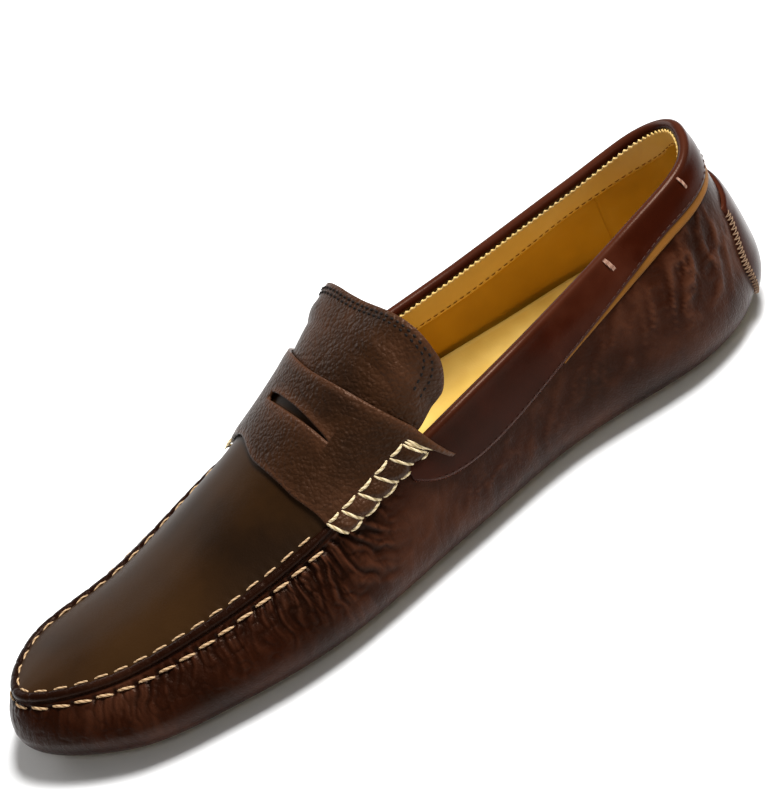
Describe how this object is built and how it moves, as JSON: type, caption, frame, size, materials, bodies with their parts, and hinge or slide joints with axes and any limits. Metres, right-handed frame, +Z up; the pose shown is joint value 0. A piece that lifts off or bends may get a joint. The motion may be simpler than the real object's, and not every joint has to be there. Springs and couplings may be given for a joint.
{
  "type": "driving moccasin",
  "caption": "Leather driving moccasin for the left foot: wrapped shell, laced strap over a sewn plug, flexing tongue, bound collar, tan lining and ribbed rubber pads.",
  "frame": {"origin": "centre of the shoe's box, on the ground under the rubber pads", "axes": "+X towards the toe, +Y towards the outer side of a left shoe, +Z up"},
  "size_m": [0.2954, 0.0942, 0.0847],
  "materials": {
    "shell_leather": "smooth waxed full grain, dark red brown, satin",
    "plug_leather": "smooth full grain, dark brown, satin",
    "pebbled_leather": "tumbled pebbled grain, dark brown, satin",
    "collar_leather": "smooth polished, dark red brown",
    "accent_leather": "raw tan edge, matt",
    "lining_leather": "smooth tan lining calf, matt",
    "lining_edge": "pale tan lining with a pinked edge, matt",
    "sock_leather": "smooth pale tan sock leather, matt",
    "canvas": "cotton drill lining",
    "fibre_board": "pressed cellulose fibre board, matt",
    "foam": "open-cell foam",
    "gum_rubber": "moulded gum rubber, satin",
    "thread": "waxed cream thread",
    "tack_thread": "pinkish tan thread"
  },
  "bodies": {
    "upper": {"moccasin_wall": "shell_leather", "plug": "plug_leather", "plug_lining": "canvas", "forepart_lining": "canvas", "penny_strap": "pebbled_leather", "strap_lacing_lateral": "thread", "strap_lacing_medial": "thread", "collar_band": "collar_leather", "collar_accent": "accent_leather", "collar_lining": "lining_edge", "quarter_lining_lateral": "lining_leather", "quarter_lining_medial": "lining_leather", "heel_lining": "lining_leather", "heel_counter": "fibre_board", "heel_patch": "collar_leather", "bartack_lateral_front": "tack_thread", "bartack_lateral_rear": "tack_thread", "bartack_medial_front": "tack_thread", "bartack_medial_rear": "tack_thread", "insole_board": "fibre_board", "insole_foam": "foam", "sock": "sock_leather", "toe_pad": "gum_rubber", "ball_pad": "gum_rubber", "waist_pad": "gum_rubber", "heel_pad": "gum_rubber"},
    "tongue": {"tongue": "pebbled_leather", "tongue_lining": "lining_leather"}
  },
  "joints": [
    {"name": "tongue_flex", "type": "hinge", "parent": "upper", "child": "tongue", "pos_m": [0.00536, 0.00126, 0.0706], "axis": [0, 1, 0], "range_deg": [0, 30], "stiffness_Nm_per_rad": 0.2}
  ]
}
